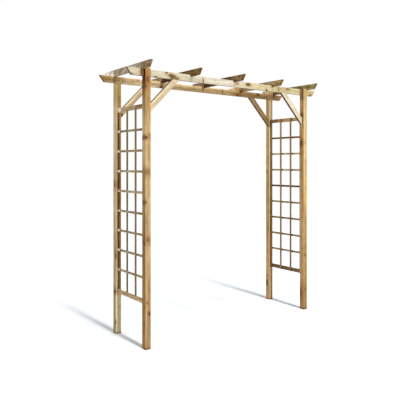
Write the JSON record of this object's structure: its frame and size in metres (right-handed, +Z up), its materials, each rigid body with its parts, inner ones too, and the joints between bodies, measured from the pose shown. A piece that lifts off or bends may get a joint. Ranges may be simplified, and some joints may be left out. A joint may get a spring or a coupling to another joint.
{
  "type": "wooden garden arch",
  "caption": "Flat-topped softwood garden arch: square posts carry housed beams and notched rafters, with corner braces and a lath trellis in each side for climbing plants.",
  "frame": {"origin": "middle of the arch's bounding box, on the ground", "axes": "+X along the beams from left to right, +Y from front to back along the rafters, +Z up"},
  "size_m": [2.09, 0.72, 2.148],
  "materials": {
    "post_timber": "planed, pressure-treated softwood",
    "beam_timber": "planed, pressure-treated softwood",
    "rafter_timber": "planed, pressure-treated softwood",
    "brace_timber": "planed, pressure-treated softwood",
    "trellis_timber": "planed softwood laths",
    "coated_steel": "brown coating"
  },
  "bodies": {
    "root": {"post_front_left": "post_timber", "post_front_right": "post_timber", "post_back_left": "post_timber", "post_back_right": "post_timber", "beam_front": "beam_timber", "beam_back": "beam_timber", "rafter_1": "rafter_timber", "rafter_2": "rafter_timber", "rafter_3": "rafter_timber", "rafter_4": "rafter_timber", "rafter_5": "rafter_timber", "brace_front_left": "brace_timber", "brace_front_right": "brace_timber", "brace_back_left": "brace_timber", "brace_back_right": "brace_timber", "left_top_rail": "trellis_timber", "left_bottom_rail": "trellis_timber", "left_front_stile": "trellis_timber", "left_back_stile": "trellis_timber", "left_upright_lath_1": "trellis_timber", "left_upright_lath_2": "trellis_timber", "left_cross_lath_1": "trellis_timber", "left_cross_lath_2": "trellis_timber", "left_cross_lath_3": "trellis_timber", "left_cross_lath_4": "trellis_timber", "left_cross_lath_5": "trellis_timber", "left_cross_lath_6": "trellis_timber", "left_cross_lath_7": "trellis_timber", "left_cross_lath_8": "trellis_timber", "right_top_rail": "trellis_timber", "right_bottom_rail": "trellis_timber", "right_front_stile": "trellis_timber", "right_back_stile": "trellis_timber", "right_upright_lath_1": "trellis_timber", "right_upright_lath_2": "trellis_timber", "right_cross_lath_1": "trellis_timber", "right_cross_lath_2": "trellis_timber", "right_cross_lath_3": "trellis_timber", "right_cross_lath_4": "trellis_timber", "right_cross_lath_5": "trellis_timber", "right_cross_lath_6": "trellis_timber", "right_cross_lath_7": "trellis_timber", "right_cross_lath_8": "trellis_timber", "beam_screws": "coated_steel", "rafter_screws": "coated_steel", "brace_screws": "coated_steel", "left_trellis_screws": "coated_steel", "left_lath_pins": "coated_steel", "right_trellis_screws": "coated_steel", "right_lath_pins": "coated_steel"}
  },
  "joints": []
}
